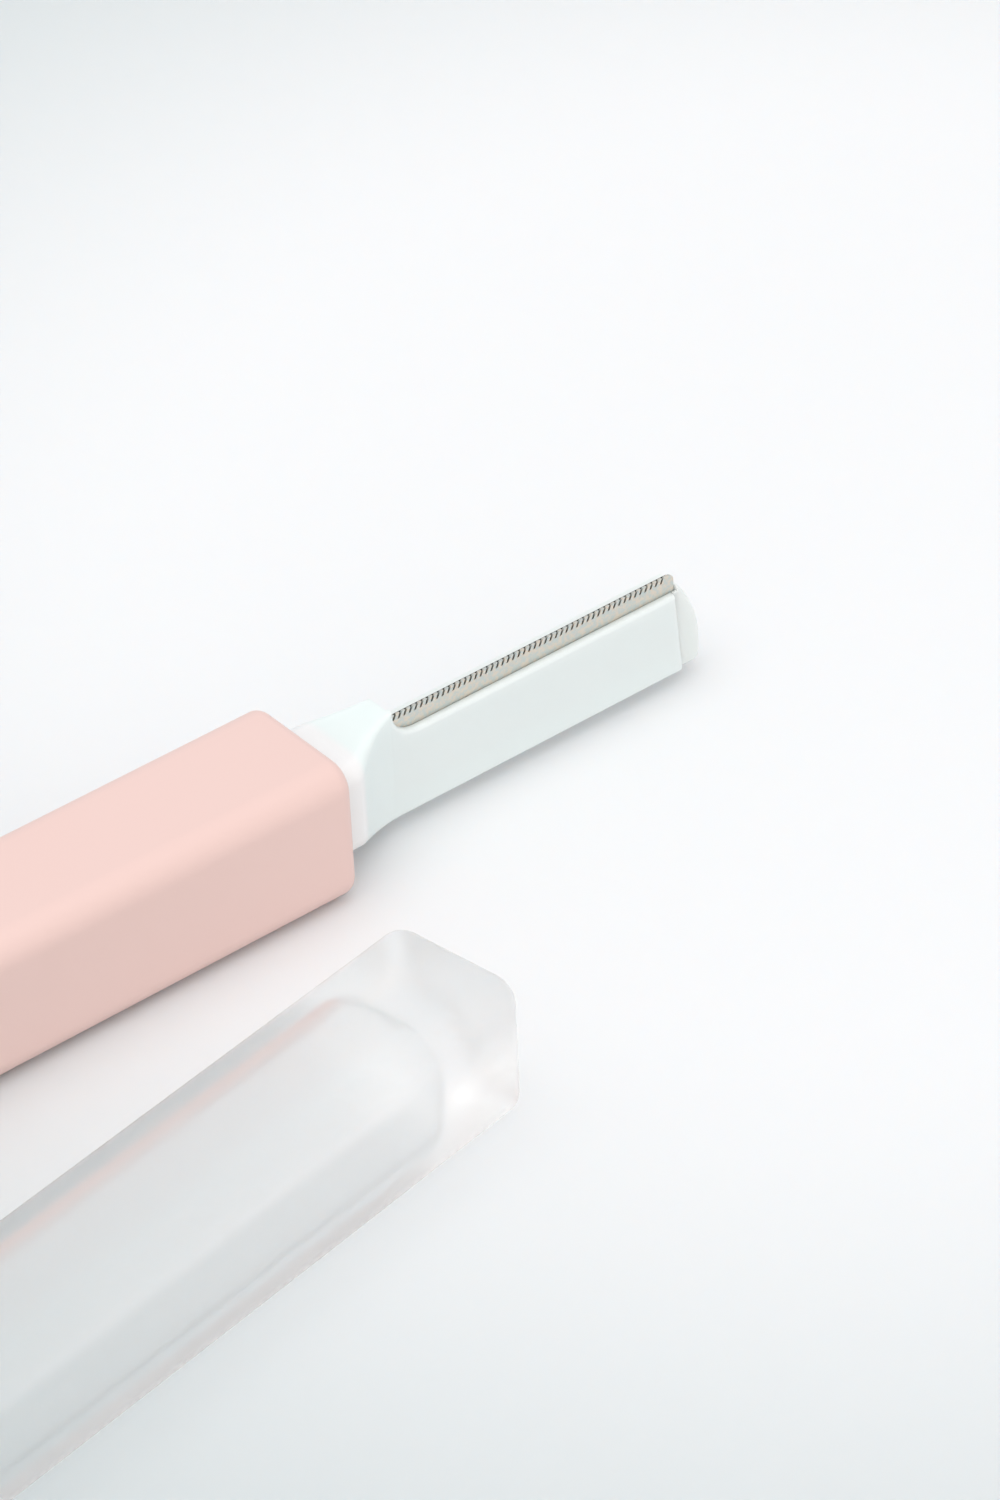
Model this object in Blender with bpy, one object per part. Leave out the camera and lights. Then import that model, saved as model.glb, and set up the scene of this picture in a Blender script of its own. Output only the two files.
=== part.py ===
"""Facial razor with its clear cap taken off and lying beside it. Metres, +Z up.

The razor lies on a flat surface at Z = 0, its handle along X, the blade end at +X and the guarded edge up.
The near side of the head faces -Y. The origin is the middle of the handle's underside.
Places on the head are measured from the middle of the handle's front face.
"""

import math

import bmesh
import bpy
from mathutils import Matrix, Vector

# Handle, a square tube closed at its tail
HANDLE_LENGTH = 0.0900
HANDLE_SIDE = 0.0120
HANDLE_EDGE_RADIUS = 0.0022
HANDLE_END_RADIUS = 0.0010
HOLLOW_SIDE = 0.0070
HOLLOW_EDGE_RADIUS = 0.0010
TAIL_WALL = 0.0030

# Neck of the blade holder, with the tang that sits in the handle's socket
NECK_SIDE = 0.0080
NECK_EDGE_RADIUS = 0.0015
NECK_LENGTH = 0.0023
TANG_LENGTH = 0.0200
TANG_TIP_LENGTH = 0.0015
TANG_TIP_INSET = 0.0004
TANG_GAP = 0.0001

# Head, a thin upright plate that the neck narrows to, fast behind a soft crease and then slowly.
# The strips and the back cover start one step away from the neck.
CREASE_LENGTH = 0.0003
TRANSITION_LENGTH = 0.0050
TRANSITION_POWER = 1.6
HEAD_THICKNESS = 0.0028
HEAD_HEIGHT = 0.0098
HEAD_EDGE_RADIUS = 0.0003
STEP_LENGTH = 0.0048

# Near leaf of the holder, with the window over it and the pocket behind it
LEAF_LENGTH = 0.0275
LEAF_END_LEAN = 0.0006
LEAF_END_RADIUS = 0.0002
LEAF_THICKNESS = 0.00065
LEAF_HEIGHT = 0.0073
LEAF_LIP_RADIUS = 0.00035
WINDOW_MARGIN = 0.0002
WINDOW_CORNER_RADIUS = 0.0022
POCKET_FLOOR = 0.0020

# Steel strips between the leaf and the back cover
STACK_GAP = 0.00005
STRIP_LENGTH = 0.0279
GUARD_THICKNESS = 0.00015
GUARD_EXPOSURE = 0.00163
GUARD_CORNER_RADIUS = 0.0006
TOOTH_PITCH = 0.00052
TOOTH_WIDTH = 0.00034
TOOTH_TIP_WIDTH = 0.00030
TOOTH_HEIGHT = 0.0005
TOOTH_LEAN = 0.00024
BLADE_THICKNESS = 0.0002
BLADE_SETBACK = 0.0001
BLADE_GRIND = 0.0007
BLADE_END_INSET = 0.0005

# Back cover with the nose that closes the tip
COVER_GAP = 0.0001
NOSE_STEP = 0.0004
NOSE_HEIGHT = 0.00775
NOSE_TOP_LENGTH = 0.0002
NOSE_LENGTH = 0.0021
NOSE_FACE_RADIUS = 0.0098
NOSE_FOOT_RADIUS = 0.0007

# Stakes that run from the leaf through both strips into the back cover
STAKE_COUNT = 3
STAKE_RADIUS = 0.0007
STAKE_HEIGHT = 0.0046
STAKE_INSET = 0.0045
STAKE_HOLE_GAP = 0.0001
STAKE_RECESS = 0.0002

# Cap, as wide as the handle, with ribs in its mouth that grip the neck
CAP_LENGTH = 0.0600
CAP_HEAD_GAP = 0.0001
CAP_CAVITY_EDGE_RADIUS = 0.0030
CAP_CAVITY_END_RADIUS = 0.0025
CAP_END_WALL = 0.0070
CAP_END_RADIUS = 0.0017
CAP_MOUTH_RADIUS = 0.0003
CAP_GRIP_GAP = 0.0001
RIB_WIDTH = 0.0008
RIB_LENGTH = 0.0060
RIB_SPACING = 0.0040
CAP_YAW = math.radians(10.0)
CAP_SETBACK = 0.00704
CAP_SPACING = 0.01509

# Smoothness of the rounded forms
CORNER_STEPS = 4
ARC_STEPS = 8
STAKE_STEPS = 24
TRANSITION_STEPS = 14
TRANSITION_CROWDING = 1.6
SHARP_ANGLE = math.radians(35.0)

# How far a cutting shape runs past what it cuts, and how deep a joined piece is rooted
OVERRUN = 0.0020
ROOT_DEPTH = 0.0002
WELD_DISTANCE = 0.000001

# Places on the head that follow from the sizes above
PLATE_START = NECK_LENGTH + TRANSITION_LENGTH + CREASE_LENGTH
STEP_X = NECK_LENGTH + STEP_LENGTH
WINDOW_START = STEP_X + WINDOW_MARGIN
LEAF_END = STEP_X + LEAF_LENGTH
STRIP_END = STEP_X + STRIP_LENGTH
NOSE_START = STRIP_END + COVER_GAP
COVER_START = STEP_X + COVER_GAP
HEAD_TOP = HEAD_HEIGHT / 2
HEAD_BOTTOM = -HEAD_TOP
LEAF_TOP = HEAD_BOTTOM + LEAF_HEIGHT
GUARD_TIP = LEAF_TOP + GUARD_EXPOSURE
POCKET_BOTTOM = HEAD_BOTTOM + POCKET_FLOOR
STRIP_BOTTOM = POCKET_BOTTOM + STACK_GAP
FAR_FACE = HEAD_THICKNESS / 2
NEAR_FACE = -FAR_FACE
LEAF_BACK = NEAR_FACE + LEAF_THICKNESS
GUARD_FRONT = LEAF_BACK + STACK_GAP
GUARD_BACK = GUARD_FRONT + GUARD_THICKNESS
BLADE_FRONT = GUARD_BACK + STACK_GAP
BLADE_BACK = BLADE_FRONT + BLADE_THICKNESS
COVER_FRONT = BLADE_BACK + STACK_GAP


def clear_scene():
    """Remove whatever the scene starts with."""
    for obj in list(bpy.data.objects):
        bpy.data.objects.remove(obj, do_unlink=True)


def new_collection(name):
    """Add a collection to the scene."""
    collection = bpy.data.collections.new(name)
    bpy.context.scene.collection.children.link(collection)
    return collection


def make_material(name, colour, roughness, metallic=0.0, transmission=0.0):
    """Plain Principled material."""
    material = bpy.data.materials.new(name)
    material.use_nodes = True
    shader = material.node_tree.nodes["Principled BSDF"]
    shader.inputs["Base Color"].default_value = (*colour, 1.0)
    shader.inputs["Roughness"].default_value = roughness
    shader.inputs["Metallic"].default_value = metallic
    shader.inputs["Transmission Weight"].default_value = transmission
    material.diffuse_color = (*colour, 1.0)
    return material


def add_object(name, data, collection):
    """Object with the given data, linked to a collection."""
    obj = bpy.data.objects.new(name, data)
    collection.objects.link(obj)
    return obj


def mesh_object(name, bm, collection):
    """Object from a bmesh, with its faces turned outwards and shaded smooth between sharp edges."""
    bmesh.ops.recalc_face_normals(bm, faces=bm.faces)
    mesh = bpy.data.meshes.new(name)
    bm.to_mesh(mesh)
    bm.free()
    mesh.shade_smooth()
    mesh.set_sharp_from_angle(angle=SHARP_ANGLE)
    return add_object(name, mesh, collection)


def boolean(obj, helper, operation):
    """Join or cut an object with a helper shape, which then stays out of renders."""
    helper.hide_render = True
    helper.display_type = "WIRE"
    helper.parent = obj.parent
    modifier = obj.modifiers.new(helper.name, "BOOLEAN")
    modifier.operation = operation
    modifier.solver = "EXACT"
    modifier.object = helper


def boxes(name, corners, collection):
    """One object of plain boxes, each from its low and its high corner."""
    bm = bmesh.new()
    for low, high in corners:
        middle = (Vector(low) + Vector(high)) / 2
        size = Matrix.Diagonal((*(Vector(high) - Vector(low)), 1.0))
        bmesh.ops.create_cube(bm, size=1.0, matrix=Matrix.Translation(middle) @ size)
    return mesh_object(name, bm, collection)


def rounded_bar(name, length, side, edge_radius, rear_radius, front_radius, collection):
    """Square bar along local X from 0 to its length, with rounded long edges and rounded end rims."""
    bm = bmesh.new()
    middle = Matrix.Translation((length / 2, 0.0, 0.0))
    bmesh.ops.create_cube(bm, size=1.0, matrix=middle @ Matrix.Diagonal((length, side, side, 1.0)))
    long_edges = [e for e in bm.edges if abs(e.verts[0].co.x - e.verts[1].co.x) > WELD_DISTANCE]
    round_edges(bm, long_edges, edge_radius)
    for place, radius in ((0.0, rear_radius), (length, front_radius)):
        rim = [e for e in bm.edges if all(abs(v.co.x - place) < WELD_DISTANCE for v in e.verts)]
        if radius > 0.0:
            round_edges(bm, rim, radius)
    return mesh_object(name, bm, collection)


def round_edges(bm, edges, radius):
    """Give edges a round of the given radius."""
    bmesh.ops.bevel(bm, geom=edges, offset=radius, segments=CORNER_STEPS, profile=0.5, affect="EDGES")


def arc(centre, radius, start, end, steps):
    """Points on a circle, from one angle to another in degrees."""
    angles = [math.radians(start + (end - start) * k / steps) for k in range(steps + 1)]
    return [(centre[0] + radius * math.cos(a), centre[1] + radius * math.sin(a)) for a in angles]


def arc_between(start, end, radius, steps):
    """Points on an arc that bulges to the left of the way from its start to its end."""
    way = Vector(end) - Vector(start)
    half = way.length / 2
    inward = Vector((way.y, -way.x)) / way.length
    centre = (Vector(start) + Vector(end)) / 2 + inward * math.sqrt(radius**2 - half**2)
    first = Vector(start) - centre
    last = Vector(end) - centre
    return arc(
        centre,
        radius,
        math.degrees(math.atan2(first.y, first.x)),
        math.degrees(math.atan2(last.y, last.x)),
        steps,
    )


def extruded(name, outline, thickness, rim_radius, collection):
    """Flat solid from an outline in local X and Y, centred on its thickness along local Z."""
    curve = bpy.data.curves.new(name, "CURVE")
    curve.dimensions = "2D"
    curve.fill_mode = "BOTH"
    curve.extrude = thickness / 2 - rim_radius
    curve.bevel_depth = rim_radius
    curve.bevel_resolution = 2
    curve.offset = -rim_radius
    spline = curve.splines.new("POLY")
    spline.points.add(len(outline) - 1)
    for point, (x, y) in zip(spline.points, outline):
        point.co = (x, y, 0.0, 1.0)
    spline.use_cyclic_u = True
    return curve_to_mesh(add_object(name, curve, collection), collection)


def curve_to_mesh(obj, collection):
    """Put a closed mesh object of the same name in the place of a filled curve."""
    bpy.context.view_layer.update()
    name = obj.name
    place = obj.matrix_world.copy()
    mesh = bpy.data.meshes.new_from_object(obj.evaluated_get(bpy.context.evaluated_depsgraph_get()))
    bpy.data.objects.remove(obj, do_unlink=True)
    bm = bmesh.new()
    bm.from_mesh(mesh)
    bpy.data.meshes.remove(mesh)
    bmesh.ops.remove_doubles(bm, verts=bm.verts, dist=WELD_DISTANCE)
    solid = mesh_object(name, bm, collection)
    solid.matrix_world = place
    return solid


def upright(obj, front, back):
    """Stand a flat solid up, its outline in X and Z, between two places along Y."""
    obj.rotation_euler = (math.pi / 2, 0.0, 0.0)
    obj.location = (0.0, (front + back) / 2, 0.0)
    return obj


def loft(name, sections, collection):
    """Closed body through a row of sections that have the same number of points."""
    bm = bmesh.new()
    loops = [[bm.verts.new(point) for point in section] for section in sections]
    for first, second in zip(loops, loops[1:]):
        for k in range(len(first)):
            n = (k + 1) % len(first)
            bm.faces.new((first[k], first[n], second[n], second[k]))
    bm.faces.new(loops[0])
    bm.faces.new(loops[-1])
    return mesh_object(name, bm, collection)


def rounded_section(x, half_width, half_height, radius):
    """Closed loop of points across X, a rectangle with rounded corners."""
    corners = (
        (half_width - radius, half_height - radius, 0),
        (radius - half_width, half_height - radius, 90),
        (radius - half_width, radius - half_height, 180),
        (half_width - radius, radius - half_height, 270),
    )
    loop = []
    for y, z, start in corners:
        loop.extend((x, py, pz) for py, pz in arc((y, z), radius, start, start + 90, CORNER_STEPS))
    return loop


def between(first, second, share):
    """Section part of the way between two others."""
    return [Vector(p).lerp(Vector(q), share) for p, q in zip(first, second)]


def narrowed(x):
    """Sum, up to a place, of a share that runs from 0 at the crease to 1 at the plate, ever more slowly."""
    share = (x - NECK_LENGTH) / TRANSITION_LENGTH
    inside = min(max(share, 0.0), 1.0)
    order = TRANSITION_POWER + 1
    return (inside + ((1.0 - inside) ** order - 1.0) / order + max(share - 1.0, 0.0)) * TRANSITION_LENGTH


def transition_section(x, neck, plate):
    """Section between the neck and the plate, averaged over the crease's length to soften it."""
    share = (narrowed(x + CREASE_LENGTH) - narrowed(x - CREASE_LENGTH)) / (2 * CREASE_LENGTH)
    return [(x, y, z) for _, y, z in between(neck, plate, share)]


def plate_section(x, inset):
    """Section of the head's plate, drawn in by an inset."""
    radius = HEAD_EDGE_RADIUS - inset
    return rounded_section(x, HEAD_THICKNESS / 2 - inset, HEAD_HEIGHT / 2 - inset, radius)


def leaf_end(z):
    """Place of the leaf's end, which leans outwards towards its foot."""
    return LEAF_END + LEAF_END_LEAN * (LEAF_TOP - z) / LEAF_HEIGHT


def holder_sections():
    """Sections of the blade holder from the tang's tip to the end of its near face."""
    half = NECK_SIDE / 2
    tip_half = half - TANG_TIP_INSET
    tip_radius = NECK_EDGE_RADIUS - TANG_TIP_INSET
    crease = NECK_LENGTH - CREASE_LENGTH
    neck = rounded_section(crease, half, half, NECK_EDGE_RADIUS)
    plate = plate_section(PLATE_START, 0.0)
    sections = [
        rounded_section(-TANG_LENGTH, tip_half, tip_half, tip_radius),
        rounded_section(TANG_TIP_LENGTH - TANG_LENGTH, half, half, NECK_EDGE_RADIUS),
    ]
    for k in range(TRANSITION_STEPS + 1):
        way = (k / TRANSITION_STEPS) ** TRANSITION_CROWDING
        sections.append(transition_section(crease + (PLATE_START - crease) * way, neck, plate))
    for depth, inset in arc((0.0, 0.0), LEAF_END_RADIUS, 90, 0, CORNER_STEPS):
        end = plate_section(depth - LEAF_END_RADIUS, LEAF_END_RADIUS - inset)
        sections.append([(leaf_end(z) + x, y, z) for x, y, z in end])
    return sections


def window_outline(grow):
    """Opening above the leaf, up to past the top and the tip, with one rounded lower corner."""
    left = WINDOW_START - grow
    floor = LEAF_TOP - grow
    radius = WINDOW_CORNER_RADIUS + grow
    points = arc((left + radius, floor + radius), radius, 180, 270, ARC_STEPS)
    points.append((STRIP_END + OVERRUN, floor))
    points.append((STRIP_END + OVERRUN, HEAD_TOP + OVERRUN))
    points.append((left, HEAD_TOP + OVERRUN))
    return points


def window_sections():
    """Sections of the window's cutting shape, which flares at the near face to round the leaf's lip."""
    lip = [(OVERRUN, LEAF_LIP_RADIUS)]
    for rise, run in arc((0.0, 0.0), LEAF_LIP_RADIUS, 90, 180, CORNER_STEPS):
        lip.append((-LEAF_LIP_RADIUS + run, LEAF_LIP_RADIUS + rise))
    lip.append((-HEAD_THICKNESS - OVERRUN, 0.0))
    return [[(x, NEAR_FACE - out, z) for x, z in window_outline(grow)] for out, grow in lip]


def guard_outline():
    """Comb strip seen from the near side, with leaning teeth and a rounded upper corner at the tip."""
    root = GUARD_TIP - TOOTH_HEIGHT
    corner = (STRIP_END - GUARD_CORNER_RADIUS, GUARD_TIP - GUARD_CORNER_RADIUS)
    start = STEP_X + STACK_GAP
    count = int((corner[0] - TOOTH_LEAN - WINDOW_START) / TOOTH_PITCH)
    land = WINDOW_START + count * TOOTH_PITCH
    taper = (TOOTH_WIDTH - TOOTH_TIP_WIDTH) / 2
    outline = [(start, STRIP_BOTTOM), (STRIP_END, STRIP_BOTTOM)]
    outline.extend(arc(corner, GUARD_CORNER_RADIUS, 0, 90, ARC_STEPS))
    outline.append((land + TOOTH_LEAN, GUARD_TIP))
    outline.append((land, root))
    for k in reversed(range(count)):
        x = WINDOW_START + k * TOOTH_PITCH
        outline.append((x + TOOTH_WIDTH, root))
        outline.append((x + TOOTH_LEAN + TOOTH_WIDTH - taper, GUARD_TIP))
        outline.append((x + TOOTH_LEAN + taper, GUARD_TIP))
        outline.append((x, root))
    outline.append((start, root))
    return outline


def blade_outline():
    """Blade seen from its end, thickness across and the ground edge up."""
    half = BLADE_THICKNESS / 2
    edge = GUARD_TIP - BLADE_SETBACK
    grind = edge - BLADE_GRIND
    return [(-half, STRIP_BOTTOM), (half, STRIP_BOTTOM), (half, grind), (0.0, edge), (-half, grind)]


def cover_outline():
    """Back cover seen from the near side, with the nose that rises and bulges at the tip."""
    nose_top = HEAD_BOTTOM + NOSE_HEIGHT
    nose_end = NOSE_START + NOSE_LENGTH
    foot = (nose_end - NOSE_FOOT_RADIUS, HEAD_BOTTOM + NOSE_FOOT_RADIUS)
    brow = (NOSE_START + NOSE_TOP_LENGTH, nose_top)
    outline = [(COVER_START, nose_top)]
    outline.extend(arc_between(brow, (nose_end, foot[1]), NOSE_FACE_RADIUS, ARC_STEPS))
    outline.extend(arc(foot, NOSE_FOOT_RADIUS, 0, -90, CORNER_STEPS)[1:])
    outline.append((COVER_START, HEAD_BOTTOM))
    return outline


def stake_set(name, radius, front, back, collection):
    """Row of discs across the head, one for each stake, spread evenly over the face."""
    bm = bmesh.new()
    span = LEAF_LENGTH - 2 * STAKE_INSET
    for k in range(STAKE_COUNT):
        x = STEP_X + STAKE_INSET + span * k / (STAKE_COUNT - 1)
        place = Matrix.Translation((x, (front + back) / 2, HEAD_BOTTOM + STAKE_HEIGHT))
        bmesh.ops.create_cone(
            bm,
            cap_ends=True,
            segments=STAKE_STEPS,
            radius1=radius,
            radius2=radius,
            depth=back - front,
            matrix=place @ Matrix.Rotation(math.pi / 2, 4, "X"),
        )
    return mesh_object(name, bm, collection)


def make_handle(parts, cutters):
    """Square handle with a socket for the tang and, behind it, a narrower hollow up to the tail wall."""
    handle = rounded_bar(
        "handle", HANDLE_LENGTH, HANDLE_SIDE, HANDLE_EDGE_RADIUS, HANDLE_END_RADIUS, HANDLE_END_RADIUS, parts
    )
    handle.location = (-HANDLE_LENGTH / 2, 0.0, HANDLE_SIDE / 2)
    socket_depth = TANG_LENGTH + TANG_GAP
    socket = rounded_bar(
        "tang socket",
        socket_depth + OVERRUN,
        NECK_SIDE + 2 * TANG_GAP,
        NECK_EDGE_RADIUS + TANG_GAP,
        0.0,
        0.0,
        cutters,
    )
    socket.location = (HANDLE_LENGTH / 2 - socket_depth, 0.0, HANDLE_SIDE / 2)
    hollow = rounded_bar(
        "handle hollow", HANDLE_LENGTH - TAIL_WALL - OVERRUN, HOLLOW_SIDE, HOLLOW_EDGE_RADIUS, 0.0, 0.0, cutters
    )
    hollow.location = (TAIL_WALL - HANDLE_LENGTH / 2, 0.0, HANDLE_SIDE / 2)
    boolean(handle, socket, "DIFFERENCE")
    boolean(handle, hollow, "DIFFERENCE")
    return handle


def make_holder(parts, cutters, head):
    """Blade holder: tang, neck, flowing transition and the near leaf with its pocket, window and stakes."""
    holder = loft("blade_holder", holder_sections(), parts)
    holder.parent = head
    far = FAR_FACE + OVERRUN
    right = STRIP_END + OVERRUN
    high = HEAD_TOP + OVERRUN
    far_half = ((STEP_X, BLADE_BACK, HEAD_BOTTOM - OVERRUN), (right, far, high))
    pocket = ((STEP_X, LEAF_BACK, POCKET_BOTTOM), (right, far, high))
    stakes = stake_set("stakes", STAKE_RADIUS, LEAF_BACK - ROOT_DEPTH, FAR_FACE - STAKE_RECESS, cutters)
    boolean(holder, boxes("far half", [far_half], cutters), "DIFFERENCE")
    boolean(holder, boxes("strip pocket", [pocket], cutters), "DIFFERENCE")
    boolean(holder, loft("window", window_sections(), cutters), "DIFFERENCE")
    boolean(holder, stakes, "UNION")
    return holder


def make_guard(parts, cutters, head):
    """Toothed steel strip that keeps the skin off the blade's edge."""
    guard = extruded("edge_guard", guard_outline(), GUARD_THICKNESS, 0.0, parts)
    upright(guard, GUARD_FRONT, GUARD_BACK).parent = head
    holes = stake_set("guard holes", STAKE_RADIUS + STAKE_HOLE_GAP, NEAR_FACE, FAR_FACE, cutters)
    boolean(guard, holes, "DIFFERENCE")
    return guard


def make_blade(parts, cutters, head):
    """Blade behind the guard, ground to an edge just below the tips of the teeth."""
    length = STRIP_END - BLADE_END_INSET - WINDOW_START
    blade = extruded("blade", blade_outline(), length, 0.0, parts)
    blade.rotation_euler = (math.pi / 2, 0.0, math.pi / 2)
    blade.location = (WINDOW_START + length / 2, (BLADE_FRONT + BLADE_BACK) / 2, 0.0)
    blade.parent = head
    holes = stake_set("blade holes", STAKE_RADIUS + STAKE_HOLE_GAP, NEAR_FACE, FAR_FACE, cutters)
    boolean(blade, holes, "DIFFERENCE")
    return blade


def leaf_seat_outline():
    """Room for the leaf seen from the near side, its right side along the leaf's leaning end."""
    left = COVER_START - OVERRUN
    foot = HEAD_BOTTOM - OVERRUN
    ends = [(leaf_end(z) + COVER_GAP, z) for z in (foot, LEAF_TOP + COVER_GAP)]
    return [(left, foot), *ends, (left, LEAF_TOP + COVER_GAP)]


def make_cover(parts, cutters, head):
    """Back cover of the head, cut down to a flat seat beside the strips and left full at the nose."""
    front = NEAR_FACE + NOSE_STEP
    before = front - OVERRUN
    left = COVER_START - OVERRUN
    foot = HEAD_BOTTOM - OVERRUN
    cover = extruded("back_cover", cover_outline(), FAR_FACE - front, HEAD_EDGE_RADIUS, parts)
    upright(cover, front, FAR_FACE).parent = head
    leaf_seat = extruded("leaf seat", leaf_seat_outline(), COVER_FRONT - before, 0.0, cutters)
    strip_seat = ((left, LEAF_BACK, foot), (NOSE_START, COVER_FRONT, HEAD_TOP))
    window_seat = ((left, before, LEAF_TOP), (NOSE_START, COVER_FRONT, HEAD_TOP))
    holes = stake_set("cover holes", STAKE_RADIUS + STAKE_HOLE_GAP, front, FAR_FACE + OVERRUN, cutters)
    boolean(cover, upright(leaf_seat, before, COVER_FRONT), "DIFFERENCE")
    boolean(cover, boxes("strip seat", [strip_seat], cutters), "DIFFERENCE")
    boolean(cover, boxes("window seat", [window_seat], cutters), "DIFFERENCE")
    boolean(cover, holes, "DIFFERENCE")
    return cover


def grip_ribs(cavity_side):
    """Corners of the ribs on both side walls of the cap's mouth, rooted in the walls."""
    inner = NECK_SIDE / 2 + CAP_GRIP_GAP
    outer = cavity_side / 2 + ROOT_DEPTH
    ribs = []
    for height in (-RIB_SPACING / 2, RIB_SPACING / 2):
        for y_low, y_high in ((-outer, -inner), (inner, outer)):
            low = (CAP_MOUTH_RADIUS, y_low, height - RIB_WIDTH / 2)
            high = (CAP_MOUTH_RADIUS + RIB_LENGTH, y_high, height + RIB_WIDTH / 2)
            ribs.append((low, high))
    return ribs


def make_cap(parts, cutters, rest):
    """Clear cap lying on its side, its closed end forward, its local X axis from the mouth to the end."""
    cap = rounded_bar(
        "cap", CAP_LENGTH, HANDLE_SIDE, HANDLE_EDGE_RADIUS, CAP_MOUTH_RADIUS, CAP_END_RADIUS, parts
    )
    cap.parent = rest
    cavity_side = HEAD_HEIGHT + 2 * CAP_HEAD_GAP
    cavity = rounded_bar(
        "cap cavity",
        CAP_LENGTH - CAP_END_WALL + OVERRUN,
        cavity_side,
        CAP_CAVITY_EDGE_RADIUS,
        0.0,
        CAP_CAVITY_END_RADIUS,
        cutters,
    )
    cavity.location = (-OVERRUN, 0.0, 0.0)
    boolean(cap, cavity, "DIFFERENCE")
    boolean(cap, boxes("grip ribs", grip_ribs(cavity_side), cutters), "UNION")
    return cap


def make_empty(name, location, yaw, collection):
    """Empty that carries the pieces of one part of the object."""
    empty = add_object(name, None, collection)
    empty.location = location
    empty.rotation_euler = (0.0, 0.0, yaw)
    return empty


def main():
    clear_scene()
    parts = new_collection("facial razor")
    cutters = new_collection("cutting shapes")
    axis_height = HANDLE_SIDE / 2
    head = make_empty("head frame", (HANDLE_LENGTH / 2, 0.0, axis_height), 0.0, parts)
    cap_end = Vector((HANDLE_LENGTH / 2 - CAP_SETBACK, -HANDLE_SIDE - CAP_SPACING, axis_height))
    cap_way = Vector((math.cos(CAP_YAW), math.sin(CAP_YAW), 0.0))
    rest = make_empty("cap frame", cap_end - cap_way * CAP_LENGTH, CAP_YAW, parts)
    pink = make_material("pink handle plastic", (0.87, 0.53, 0.46), 0.42)
    white = make_material("white head plastic", (0.80, 0.84, 0.85), 0.35)
    steel = make_material("guard steel", (0.60, 0.58, 0.55), 0.38, metallic=1.0)
    edge_steel = make_material("blade steel", (0.70, 0.70, 0.70), 0.22, metallic=1.0)
    clear = make_material("clear cap plastic", (0.95, 0.97, 0.98), 0.08, transmission=1.0)
    make_handle(parts, cutters).data.materials.append(pink)
    make_holder(parts, cutters, head).data.materials.append(white)
    make_guard(parts, cutters, head).data.materials.append(steel)
    make_blade(parts, cutters, head).data.materials.append(edge_steel)
    make_cover(parts, cutters, head).data.materials.append(white)
    make_cap(parts, cutters, rest).data.materials.append(clear)


main()
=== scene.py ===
"""Facial razor and its clear cap on a pale table, in pale surroundings with one large soft light."""

import math

import bmesh
import bpy
from mathutils import Matrix, Vector


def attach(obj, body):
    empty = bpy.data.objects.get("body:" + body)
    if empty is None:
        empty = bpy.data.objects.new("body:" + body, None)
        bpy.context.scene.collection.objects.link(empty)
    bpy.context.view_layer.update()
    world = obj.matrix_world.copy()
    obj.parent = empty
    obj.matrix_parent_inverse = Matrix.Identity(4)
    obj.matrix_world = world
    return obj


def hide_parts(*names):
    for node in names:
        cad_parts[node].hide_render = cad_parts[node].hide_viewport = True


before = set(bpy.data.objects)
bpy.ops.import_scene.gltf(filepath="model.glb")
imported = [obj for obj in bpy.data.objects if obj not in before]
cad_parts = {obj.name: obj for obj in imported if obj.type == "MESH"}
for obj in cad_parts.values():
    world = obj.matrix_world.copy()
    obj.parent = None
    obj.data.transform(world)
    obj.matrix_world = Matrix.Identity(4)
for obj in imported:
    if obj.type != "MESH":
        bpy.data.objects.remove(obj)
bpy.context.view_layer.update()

# Lengths are in metres. Tones are linear red, green and blue.

# Camera, fitted to the straight edges of the handle and the head
CAMERA_PLACE = (-0.158264, -0.289093, 0.273619)
CAMERA_ELEVATION = math.radians(36.797)
CAMERA_AZIMUTH = math.radians(-37.442)
CAMERA_ROLL = math.radians(-2.828)
CAMERA_LENS = 144.0
CAMERA_CLIP_START = 0.01
SENSOR_LONG_SIDE = 36.0

# Handle and the socket in its front face
HANDLE_HALF_LENGTH = 0.0450
HANDLE_HALF_SIDE = 0.0060
HANDLE_EDGE_RADIUS = 0.0022
HANDLE_END_RADIUS = 0.0010
SOCKET_HALF_SIDE = 0.0041
SOCKET_EDGE_RADIUS = 0.0016
SOCKET_DEPTH = 0.0201
SOCKET_LIP = 0.00015

# Cap, lying beside the handle and turned a little
CAP_LENGTH = 0.0600
CAP_CAVITY_HALF_SIDE = 0.0050
CAP_CAVITY_EDGE_RADIUS = 0.0030
CAP_CAVITY_END_RADIUS = 0.0025
CAP_END_WALL = 0.0070
CAP_END_RADIUS = 0.0017
CAP_MOUTH_RADIUS = 0.00035
CAP_YAW = math.radians(10.0)
CAP_END_PLACE = (0.03796, -0.02709, 0.0060)

# Ribs in the cap's mouth, from their reach inwards to their root in the wall
RIB_LENGTH = 0.0060
RIB_WIDTH = 0.0008
RIB_SPACING = 0.0040
RIB_REACH = 0.0041
RIB_ROOT = 0.0052
RIB_BEVEL = RIB_WIDTH / 4
RIB_BEVEL_STEPS = 3

# Meshes
CORNER_STEPS = 12
SHARP_ANGLE = math.radians(35.0)
WELD_DISTANCE = 0.000001
FLAT_FACE_WEIGHT = 100

# Range in which most values of a noise texture lie
NOISE_RANGE = (0.3, 0.7)

# Pink plastic of the handle
PINK_TONES = ((0.740, 0.538, 0.500), (0.754, 0.554, 0.516))
PINK_DRIFT_SCALE = 60.0
PINK_GRAIN_SCALE = 9000.0
PINK_GRAIN_STRENGTH = 0.25
PINK_ROUGHNESS = (0.38, 0.48)

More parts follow.
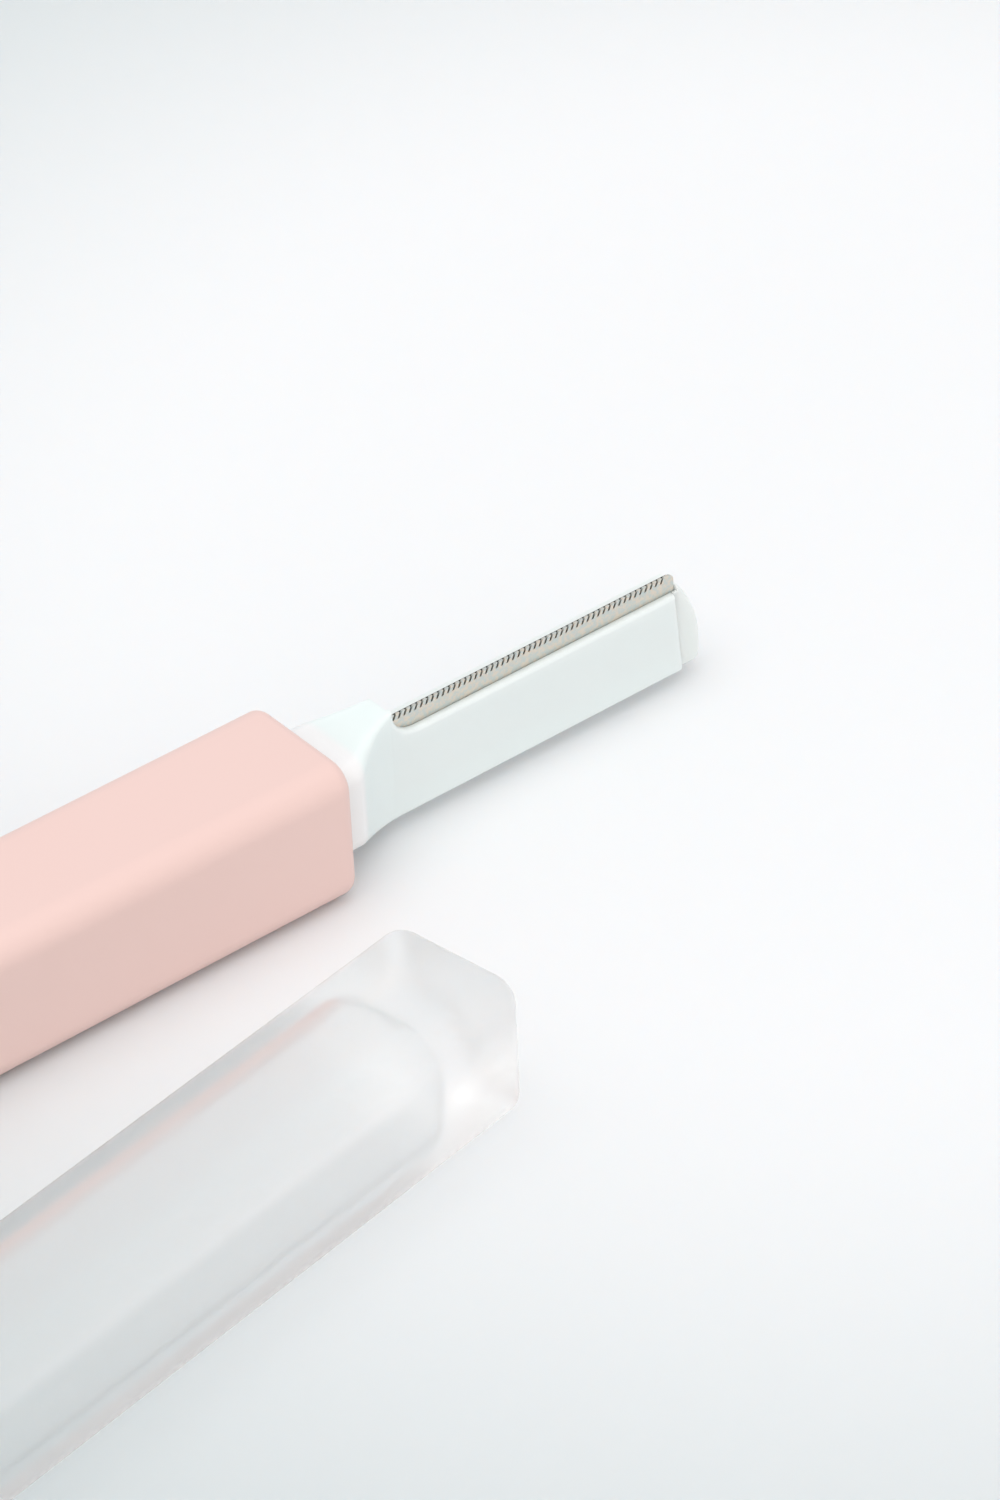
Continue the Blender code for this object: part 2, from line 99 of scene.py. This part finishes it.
# White plastic of the head: one tone for the solid neck, made paler as painted light for the brighter light
# on its face, and one for each thin leaf
NECK_LIT_TONE = (0.79, 0.80, 0.808)
HOLDER_LEAF_TONE = (0.742, 0.812, 0.812)
COVER_LEAF_TONE = (0.735, 0.78, 0.77)
NECK_DRIFT = 0.985
LEAF_DRIFT = 0.98
WHITE_DRIFT_SCALE = 90.0
WHITE_GRAIN_SCALE = 8000.0
WHITE_GRAIN_STRENGTH = 0.15
WHITE_ROUGHNESS = (0.30, 0.40)
WHITE_SCATTER_SHARE = 0.6
WHITE_SCATTER_REACH = 0.0012

# Places along X between which the neck's painted light fades, the tone going from the neck's to the leaf's
NECK_LIGHT_FADE_SPAN = (0.0472, 0.0480)

# Fine relief of both plastics
PLASTIC_GRAIN_DETAIL = 3.0
PLASTIC_GRAIN_DEPTH = 0.00002

# Strip steel
GUARD_COOL_TONE = (0.63, 0.67, 0.645)
GUARD_WARM_TONE = (0.76, 0.69, 0.595)
GUARD_ROUGHNESS = 0.40
# The blade's tones are painted shade: far darker than bare steel, for the shade and dark reflections seen in
# the slits of the guard
BLADE_SHADED_COOL_TONE = (0.20, 0.20, 0.19)
BLADE_SHADED_WARM_TONE = (0.22, 0.21, 0.19)
BLADE_ROUGHNESS = 0.35
STEEL_COOL_DRIFT = 0.90
STEEL_WARM_DRIFT = 0.92
STEEL_GRAIN_SCALE = 12000.0
STEEL_GRAIN_DETAIL = 4.0
STEEL_GRAIN_ROUGHNESS = 0.7
STEEL_GRAIN_STRETCH = (0.12, 1.0, 1.0)
STEEL_GRAIN_STRENGTH = 0.25
STEEL_GRAIN_DEPTH = 0.00001
STEEL_ROUGHNESS_SPREAD = 0.08
STEEL_ANISOTROPY = 0.3
STAIN_SCALE = 2600.0
STAIN_DETAIL = 3.0
STAIN_ROUGHNESS = 0.6
STAIN_RANGE = (0.40, 0.62)

# Clear plastic of the cap
CLEAR_TONES = ((0.99, 0.995, 0.995), (0.995, 0.998, 0.998))
CLEAR_DRIFT_SCALE = 70.0
CLEAR_ROUGHNESS = (0.36, 0.40)
CLEAR_INDEX = 1.33
CLEAR_SLANT_START = 0.38
CLEAR_PASSING_TONES = ((0.988, 0.99, 0.99), (0.68, 0.69, 0.695))

# Table top, pale round its middle and cooler and darker from a distance on: a painted pool of light
FLOOR_SIZE = 4.0
FLOOR_DROP = 0.00005
FLOOR_LIGHT_POOL_MIDDLE = (0.110, 0.000, 0.0)
FLOOR_LIGHT_POOL_SPAN = (0.060, 0.170)
FLOOR_LIGHT_POOL_TONES = ((0.782, 0.796, 0.811), (0.490, 0.550, 0.562))
FLOOR_GRAIN_SCALE = 400.0
FLOOR_ROUGHNESS = (0.55, 0.65)
FLOOR_SPECULAR = 0.2
FLOOR_SCATTER_SPREAD = (1.0, 0.88, 0.82)
FLOOR_SCATTER_REACH = 0.0035

# Surroundings and the light overhead
SKY_BACK_TONE = (0.84, 0.85, 0.86)
SKY_FRONT_TONE = (1.20, 1.14, 1.10)
SKY_FRONT_WAY = (-0.25, -0.95, 0.15)
WINDOW_SIZE = 1.1
WINDOW_POWER = 4.5
WINDOW_TONE = (1.0, 0.99, 0.975)
WINDOW_PLACE = (-0.22, -0.14, 0.95)
WINDOW_AIM = (0.03, -0.01, 0.0)


def make_camera():
    """Camera at the photograph's place and angle."""
    data = bpy.data.cameras.new("camera")
    data.lens = CAMERA_LENS
    data.sensor_width = SENSOR_LONG_SIDE
    data.clip_start = CAMERA_CLIP_START
    camera = bpy.data.objects.new("camera", data)
    camera.location = CAMERA_PLACE
    tilt = Matrix.Rotation(math.pi / 2 - CAMERA_ELEVATION, 4, "X")
    turn = Matrix.Rotation(CAMERA_AZIMUTH, 4, "Z")
    roll = Matrix.Rotation(CAMERA_ROLL, 4, "Z")
    camera.rotation_euler = (turn @ tilt @ roll).to_euler()
    bpy.context.scene.collection.objects.link(camera)
    bpy.context.scene.camera = camera


def fill(node, **values):
    """Set plain values on a node's inputs, named with underscores for spaces."""
    for name, value in values.items():
        node.inputs[name.replace("_", " ")].default_value = value


def dimmed(tone, factor):
    """Tone times a factor."""
    return tuple(value * factor for value in tone)


class Shading:
    """A material with a Principled shader, and short ways to add nodes to it."""

    def __init__(self, name):
        self.material = bpy.data.materials.new(name)
        self.material.use_nodes = True
        self.nodes = self.material.node_tree.nodes
        self.links = self.material.node_tree.links
        self.shader = self.nodes["Principled BSDF"]
        self.place = self.add("TexCoord").outputs["Object"]

    def add(self, kind, **values):
        """New shader node, with plain values on its inputs."""
        node = self.nodes.new("ShaderNode" + kind)
        fill(node, **values)
        return node

    def feed(self, output, name):
        """Join an output to one of the shader's inputs."""
        self.links.new(output, self.shader.inputs[name])

    def noise(self, scale, detail=2.0, roughness=0.5, stretch=None):
        """Factor of a noise texture read at the object's own coordinates."""
        vector = self.place
        if stretch:
            mapping = self.add("Mapping", Scale=stretch)
            self.links.new(vector, mapping.inputs["Vector"])
            vector = mapping.outputs["Vector"]
        node = self.add("TexNoise", Scale=scale, Detail=detail, Roughness=roughness)
        self.links.new(vector, node.inputs["Vector"])
        return node.outputs["Fac"]

    def remap(self, factor, span, ends=(0.0, 1.0), smooth=False):
        """Factor mapped from one range onto another."""
        node = self.add("MapRange", From_Min=span[0], From_Max=span[1], To_Min=ends[0], To_Max=ends[1])
        node.interpolation_type = "SMOOTHSTEP" if smooth else "LINEAR"
        self.links.new(factor, node.inputs["Value"])
        return node.outputs["Result"]

    def mix(self, factor, first, second):
        """Tone between two others, each a plain tone or an output."""
        node = self.add("Mix")
        node.data_type = "RGBA"
        self.links.new(factor, node.inputs["Factor"])
        for name, tone in (("A", first), ("B", second)):
            if isinstance(tone, tuple):
                node.inputs[name].default_value = (*tone, 1.0)
            else:
                self.links.new(tone, node.inputs[name])
        return node.outputs["Result"]

    def vary_roughness(self, factor, ends):
        """Roughness that follows a noise texture between two values."""
        self.feed(self.remap(factor, NOISE_RANGE, ends), "Roughness")

    def bump(self, height, strength, distance):
        """Relief on the shader's surface."""
        node = self.add("Bump", Strength=strength, Distance=distance)
        self.links.new(height, node.inputs["Height"])
        self.feed(node.outputs["Normal"], "Normal")


def pink_plastic():
    """Satin salmon-pink moulding with slow colour drift, fine gloss variation and a faint grain."""
    s = Shading("pink plastic")
    s.feed(s.mix(s.noise(PINK_DRIFT_SCALE), *PINK_TONES), "Base Color")
    grain = s.noise(PINK_GRAIN_SCALE, PLASTIC_GRAIN_DETAIL)
    s.vary_roughness(grain, PINK_ROUGHNESS)
    s.bump(grain, PINK_GRAIN_STRENGTH, PLASTIC_GRAIN_DEPTH)
    return s.material


def white_plastic(name, leaf_tone):
    """Satin cool-white moulding that lets a little light in, with painted light: paler on the neck than on
    the leaves.
    """
    s = Shading(name)
    drift = s.noise(WHITE_DRIFT_SCALE)
    pale = s.mix(drift, NECK_LIT_TONE, dimmed(NECK_LIT_TONE, NECK_DRIFT))
    grey = s.mix(drift, leaf_tone, dimmed(leaf_tone, LEAF_DRIFT))
    parts = s.add("SeparateXYZ")
    s.links.new(s.place, parts.inputs["Vector"])
    # Painted light: the neck's paler tone fades into the leaf's tone along X, at the crease
    neck_light_fade = s.remap(parts.outputs["X"], NECK_LIGHT_FADE_SPAN, smooth=True)
    s.feed(s.mix(neck_light_fade, pale, grey), "Base Color")
    grain = s.noise(WHITE_GRAIN_SCALE, PLASTIC_GRAIN_DETAIL)
    s.vary_roughness(grain, WHITE_ROUGHNESS)
    s.bump(grain, WHITE_GRAIN_STRENGTH, PLASTIC_GRAIN_DEPTH)
    fill(s.shader, Subsurface_Weight=WHITE_SCATTER_SHARE, Subsurface_Radius=(1.0, 1.0, 1.0))
    fill(s.shader, Subsurface_Scale=WHITE_SCATTER_REACH)
    return s.material


def brushed_steel(name, cool, warm, roughness):
    """Rolled strip steel, its grain running along the strip, with faint warm stains."""
    s = Shading(name)
    grain = s.noise(STEEL_GRAIN_SCALE, STEEL_GRAIN_DETAIL, STEEL_GRAIN_ROUGHNESS, STEEL_GRAIN_STRETCH)
    stain = s.remap(s.noise(STAIN_SCALE, STAIN_DETAIL, STAIN_ROUGHNESS), STAIN_RANGE, smooth=True)
    dark = s.mix(stain, dimmed(cool, STEEL_COOL_DRIFT), dimmed(warm, STEEL_WARM_DRIFT))
    s.feed(s.mix(grain, dark, s.mix(stain, cool, warm)), "Base Color")
    s.vary_roughness(grain, (roughness - STEEL_ROUGHNESS_SPREAD, roughness + STEEL_ROUGHNESS_SPREAD))
    s.bump(grain, STEEL_GRAIN_STRENGTH, STEEL_GRAIN_DEPTH)
    fill(s.shader, Metallic=1.0, Anisotropic=STEEL_ANISOTROPY)
    return s.material


def clear_plastic():
    """Clear moulding with a soft finish.

    Light on its way to the table goes straight through, less of it at slanting walls, so that the
    table beneath stays lit.
    """
    s = Shading("clear plastic")
    fill(s.shader, Transmission_Weight=1.0, IOR=CLEAR_INDEX)
    drift = s.noise(CLEAR_DRIFT_SCALE)
    s.feed(s.mix(drift, *CLEAR_TONES), "Base Color")
    s.vary_roughness(drift, CLEAR_ROUGHNESS)
    slant = s.remap(s.add("LayerWeight").outputs["Facing"], (CLEAR_SLANT_START, 1.0))
    passing = s.add("BsdfTransparent")
    s.links.new(s.mix(slant, *CLEAR_PASSING_TONES), passing.inputs["Color"])
    path = s.add("LightPath")
    lighting = s.add("Math")
    lighting.operation = "MAXIMUM"
    s.links.new(path.outputs["Is Shadow Ray"], lighting.inputs[0])
    s.links.new(path.outputs["Is Diffuse Ray"], lighting.inputs[1])
    either = s.add("MixShader")
    s.links.new(lighting.outputs["Value"], either.inputs["Fac"])
    s.links.new(s.shader.outputs["BSDF"], either.inputs[1])
    s.links.new(passing.outputs["BSDF"], either.inputs[2])
    s.links.new(either.outputs["Shader"], s.nodes["Material Output"].inputs["Surface"])
    return s.material


def table_material():
    """Smooth pale table top that lets light in a little, cooler and darker away from its middle as a painted
    pool of light.
    """
    s = Shading("pale table")
    offset = s.add("VectorMath")
    offset.operation = "DISTANCE"
    offset.inputs[1].default_value = FLOOR_LIGHT_POOL_MIDDLE
    s.links.new(s.place, offset.inputs[0])
    # Painted pool of light: the table's tone dims and cools with distance from the middle
    out_of_light_pool = s.remap(offset.outputs["Value"], FLOOR_LIGHT_POOL_SPAN, smooth=True)
    s.feed(s.mix(out_of_light_pool, *FLOOR_LIGHT_POOL_TONES), "Base Color")
    s.vary_roughness(s.noise(FLOOR_GRAIN_SCALE), FLOOR_ROUGHNESS)
    fill(s.shader, Specular_IOR_Level=FLOOR_SPECULAR, Subsurface_Weight=1.0)
    fill(s.shader, Subsurface_Radius=FLOOR_SCATTER_SPREAD, Subsurface_Scale=FLOOR_SCATTER_REACH)
    return s.material


def link_mesh(name, bm):
    """Object from a bmesh, shaded smooth between its sharp edges."""
    bmesh.ops.recalc_face_normals(bm, faces=bm.faces)
    mesh = bpy.data.meshes.new(name)
    bm.to_mesh(mesh)
    bm.free()
    mesh.shade_smooth()
    mesh.set_sharp_from_angle(angle=SHARP_ANGLE)
    obj = bpy.data.objects.new(name, mesh)
    bpy.context.scene.collection.objects.link(obj)
    return obj


def even_normals(obj):
    """Keep flats flat up to the rounds beside them."""
    modifier = obj.modifiers.new("even normals", "WEIGHTED_NORMAL")
    modifier.keep_sharp = True
    modifier.weight = FLAT_FACE_WEIGHT


def section(x, half_side, radius):
    """Closed loop of points across X, a square with rounded corners."""
    loop = []
    inner = half_side - radius
    for y, z, start in ((inner, inner, 0), (-inner, inner, 90), (-inner, -inner, 180), (inner, -inner, 270)):
        for k in range(CORNER_STEPS + 1):
            angle = math.radians(start + 90 * k / CORNER_STEPS)
            loop.append((x, y + radius * math.cos(angle), z + radius * math.sin(angle)))
    return loop


def rim(x, way, half_side, edge_radius, rim_radius, inward=False):
    """Sections over a rounded rim whose face lies at x; way is the side that the face looks to."""
    sections = []
    for k in range(CORNER_STEPS + 1):
        angle = math.radians(90 * k / CORNER_STEPS)
        back = rim_radius * (1 - math.sin(angle))
        inset = rim_radius * (1 - math.cos(angle))
        inset = -inset if inward else inset
        radius = max(edge_radius - inset, WELD_DISTANCE)
        sections.append(section(x - way * back, half_side - inset, radius))
    return sections


def skin(name, sections):
    """Closed body through a row of sections."""
    bm = bmesh.new()
    loops = [[bm.verts.new(point) for point in loop] for loop in sections]
    for first, second in zip(loops, loops[1:]):
        for k in range(len(first)):
            n = (k + 1) % len(first)
            bm.faces.new((first[k], first[n], second[n], second[k]))
    bm.faces.new(loops[0])
    bm.faces.new(loops[-1])
    bmesh.ops.remove_doubles(bm, verts=bm.verts, dist=WELD_DISTANCE)
    obj = link_mesh(name, bm)
    even_normals(obj)
    return obj


def make_handle():
    """Handle with soft long edges and rims, and the socket that the neck sits in."""
    front = rim(HANDLE_HALF_LENGTH, 1, HANDLE_HALF_SIDE, HANDLE_EDGE_RADIUS, HANDLE_END_RADIUS)
    tail = rim(-HANDLE_HALF_LENGTH, -1, HANDLE_HALF_SIDE, HANDLE_EDGE_RADIUS, HANDLE_END_RADIUS)
    mouth = rim(HANDLE_HALF_LENGTH, 1, SOCKET_HALF_SIDE, SOCKET_EDGE_RADIUS, SOCKET_LIP, inward=True)
    floor = section(HANDLE_HALF_LENGTH - SOCKET_DEPTH, SOCKET_HALF_SIDE, SOCKET_EDGE_RADIUS)
    handle = skin("handle_body", [*reversed(tail), *front, *reversed(mouth), floor])
    handle.data.transform(Matrix.Translation((0.0, 0.0, HANDLE_HALF_SIDE)))
    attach(handle, "razor")
    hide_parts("handle")
    return handle


def cap_place():
    """Where the cap lies, its own X axis from the mouth to the closed end."""
    end = Matrix.Translation(CAP_END_PLACE) @ Matrix.Rotation(CAP_YAW, 4, "Z")
    return end @ Matrix.Translation((-CAP_LENGTH, 0.0, 0.0))


def make_cap():
    """Cap with a thick closed end, its outside and its hollow joined round the mouth."""
    half = HANDLE_HALF_SIDE
    hollow = CAP_CAVITY_HALF_SIDE
    base = rim(CAP_LENGTH, 1, half, HANDLE_EDGE_RADIUS, CAP_END_RADIUS)
    mouth = rim(0.0, -1, half, HANDLE_EDGE_RADIUS, CAP_MOUTH_RADIUS)
    dome = rim(CAP_LENGTH - CAP_END_WALL, 1, hollow, CAP_CAVITY_EDGE_RADIUS, CAP_CAVITY_END_RADIUS)
    inner = section(0.0, hollow, CAP_CAVITY_EDGE_RADIUS)
    cap = skin("cap_body", [*reversed(base), *mouth, inner, *dome])
    cap.data.transform(cap_place())
    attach(cap, "cap")
    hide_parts("cap")
    return cap


def make_ribs():
    """Four small ribs in the cap's mouth that grip the neck."""
    bm = bmesh.new()
    x = CAP_MOUTH_RADIUS + RIB_LENGTH / 2
    size = Matrix.Diagonal((RIB_LENGTH, RIB_ROOT - RIB_REACH, RIB_WIDTH, 1.0))
    for z in (-RIB_SPACING / 2, RIB_SPACING / 2):
        for side in (-1, 1):
            middle = Matrix.Translation((x, side * (RIB_REACH + RIB_ROOT) / 2, z))
            bmesh.ops.create_cube(bm, size=1.0, matrix=middle @ size)
    bmesh.ops.bevel(
        bm, geom=bm.edges[:], offset=RIB_BEVEL, segments=RIB_BEVEL_STEPS, profile=0.5, affect="EDGES"
    )
    ribs = link_mesh("cap_ribs", bm)
    ribs.data.transform(cap_place())
    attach(ribs, "cap")
    return ribs


def smooth_node(name):
    """Shade a carried-over node smooth between its sharp edges, through a modifier."""
    tree = bpy.data.node_groups.new(name + " shading", "GeometryNodeTree")
    for way in ("INPUT", "OUTPUT"):
        tree.interface.new_socket("Geometry", in_out=way, socket_type="NodeSocketGeometry")
    start = tree.nodes.new("NodeGroupInput")
    end = tree.nodes.new("NodeGroupOutput")
    drop = tree.nodes.new("GeometryNodeRemoveAttribute")
    drop.inputs["Name"].default_value = "custom_normal"
    weld = tree.nodes.new("GeometryNodeMergeByDistance")
    weld.inputs["Distance"].default_value = WELD_DISTANCE
    faces = tree.nodes.new("GeometryNodeSetShadeSmooth")
    edges = tree.nodes.new("GeometryNodeSetShadeSmooth")
    edges.domain = "EDGE"
    angle = tree.nodes.new("GeometryNodeInputMeshEdgeAngle")
    flat = tree.nodes.new("FunctionNodeCompare")
    flat.operation = "LESS_THAN"
    flat.inputs["B"].default_value = SHARP_ANGLE
    tree.links.new(angle.outputs["Unsigned Angle"], flat.inputs["A"])
    tree.links.new(flat.outputs["Result"], edges.inputs["Shade Smooth"])
    for first, second in ((start, drop), (drop, weld), (weld, faces), (faces, edges), (edges, end)):
        tree.links.new(first.outputs["Geometry"], second.inputs["Geometry"])
    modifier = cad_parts[name].modifiers.new("smooth shading", "NODES")
    modifier.node_group = tree
    even_normals(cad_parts[name])


def make_floor():
    """Pale table top, a hair below the undersides so that no two faces coincide."""
    bm = bmesh.new()
    bmesh.ops.create_grid(bm, x_segments=1, y_segments=1, size=FLOOR_SIZE / 2)
    floor = link_mesh("table_top", bm)
    floor.data.transform(Matrix.Translation((0.0, 0.0, -FLOOR_DROP)))
    floor.data.materials.append(table_material())


def make_surroundings():
    """Pale surroundings, brighter in front."""
    world = bpy.data.worlds.new("surroundings")
    bpy.context.scene.world = world
    world.use_nodes = True
    nodes = world.node_tree.nodes
    links = world.node_tree.links
    place = nodes.new("ShaderNodeTexCoord").outputs["Generated"]
    facing = nodes.new("ShaderNodeVectorMath")
    facing.operation = "DOT_PRODUCT"
    facing.inputs[1].default_value = Vector(SKY_FRONT_WAY).normalized()
    links.new(place, facing.inputs[0])
    share = nodes.new("ShaderNodeMapRange")
    share.interpolation_type = "SMOOTHSTEP"
    links.new(facing.outputs["Value"], share.inputs["Value"])
    sky = nodes.new("ShaderNodeMix")
    sky.data_type = "RGBA"
    sky.inputs["A"].default_value = (*SKY_BACK_TONE, 1.0)
    sky.inputs["B"].default_value = (*SKY_FRONT_TONE, 1.0)
    links.new(share.outputs["Result"], sky.inputs["Factor"])
    background = nodes["Background"]
    background.inputs["Strength"].default_value = 1.0
    links.new(sky.outputs["Result"], background.inputs["Color"])


def make_window():
    """One large square soft light overhead."""
    data = bpy.data.lights.new("window", "AREA")
    data.size = WINDOW_SIZE
    data.energy = WINDOW_POWER
    data.color = WINDOW_TONE
    window = bpy.data.objects.new("window", data)
    window.location = WINDOW_PLACE
    aim = Vector(WINDOW_AIM) - window.location
    window.rotation_euler = aim.to_track_quat("-Z", "Y").to_euler()
    bpy.context.scene.collection.objects.link(window)


def set_material(obj, material):
    """Give an object one material in all its slots."""
    if not obj.material_slots:
        obj.data.materials.append(material)
    for slot in obj.material_slots:
        slot.material = material


make_camera()
make_floor()
make_surroundings()
make_window()

set_material(make_handle(), pink_plastic())
clear = clear_plastic()
set_material(make_cap(), clear)
set_material(make_ribs(), clear)

carried_over = {
    "blade_holder": white_plastic("holder plastic", HOLDER_LEAF_TONE),
    "back_cover": white_plastic("cover plastic", COVER_LEAF_TONE),
    "edge_guard": brushed_steel("guard steel", GUARD_COOL_TONE, GUARD_WARM_TONE, GUARD_ROUGHNESS),
    # The blade is painted dark: painted shade and painted reflection in the guard's slits
    "blade": brushed_steel("blade steel", BLADE_SHADED_COOL_TONE, BLADE_SHADED_WARM_TONE, BLADE_ROUGHNESS),
}
for node, material in carried_over.items():
    smooth_node(node)
    set_material(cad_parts[node], material)

bpy.context.scene.view_settings.view_transform = "Standard"
